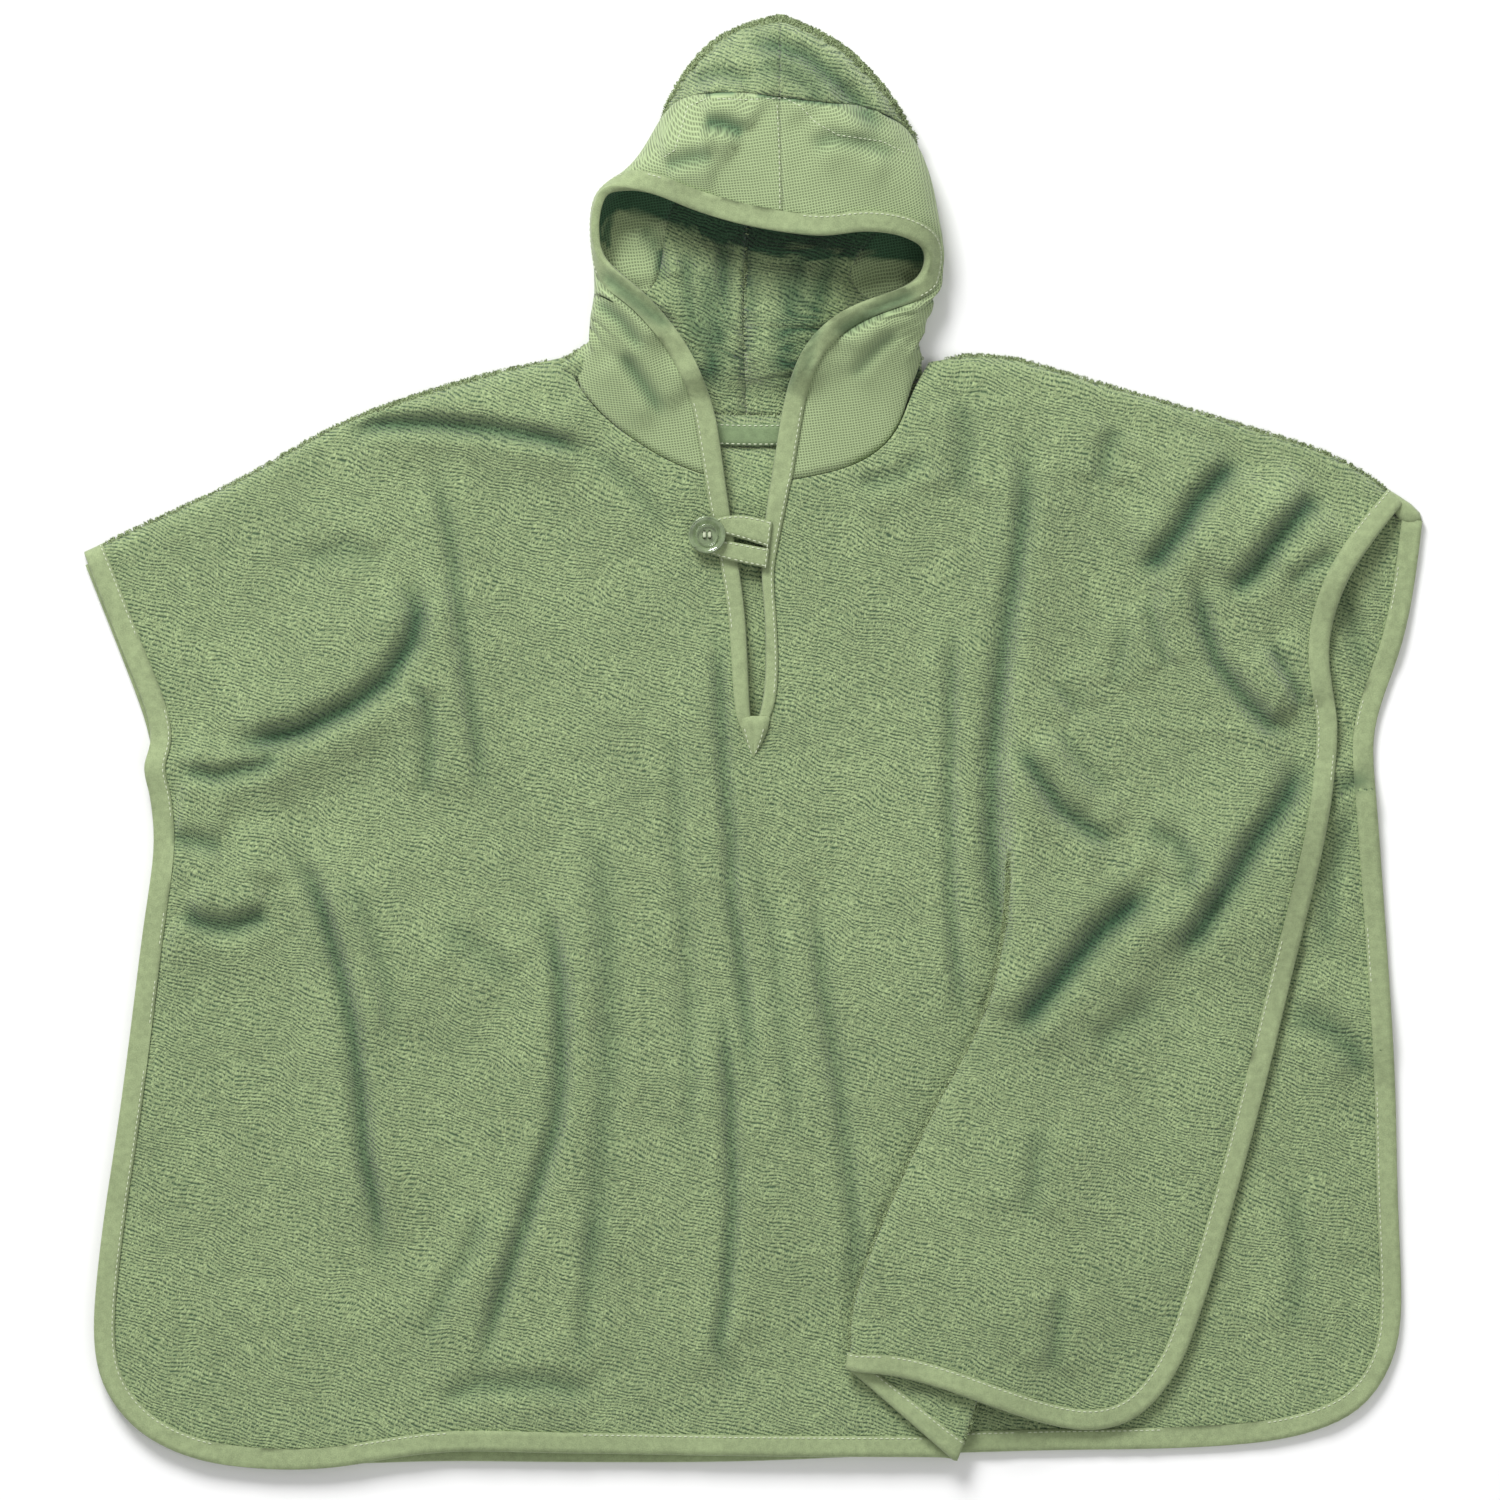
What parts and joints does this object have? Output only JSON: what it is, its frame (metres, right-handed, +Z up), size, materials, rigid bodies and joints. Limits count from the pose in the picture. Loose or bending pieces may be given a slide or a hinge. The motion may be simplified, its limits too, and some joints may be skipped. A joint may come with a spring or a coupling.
{
  "type": "surf poncho",
  "caption": "Hooded terry surf poncho laid flat on its back, one front corner folded over in a pleat, with a slit neck closed by a loop and button.",
  "frame": {"origin": "centre of the bounding box's bottom face, on the surface the poncho lies on", "axes": "+X towards the picture's right, +Y towards the hood's crown, +Z up from the table"},
  "size_m": [0.6692, 0.7264, 0.043],
  "materials": {
    "terry": "looped pile",
    "waffle_weave": "open honeycomb weave",
    "binding_tape": "plain weave",
    "button_plastic": "gloss"
  },
  "bodies": {
    "root": {"back_panel": "terry", "front_panel": "terry", "hood_crown_left": "terry", "hood_crown_right": "terry", "hood_band_left": "waffle_weave", "hood_band_right": "waffle_weave", "opening_binding": "binding_tape", "front_binding": "binding_tape", "back_binding": "binding_tape", "neck_tape": "binding_tape", "button_loop": "binding_tape", "button": "button_plastic"}
  },
  "joints": []
}
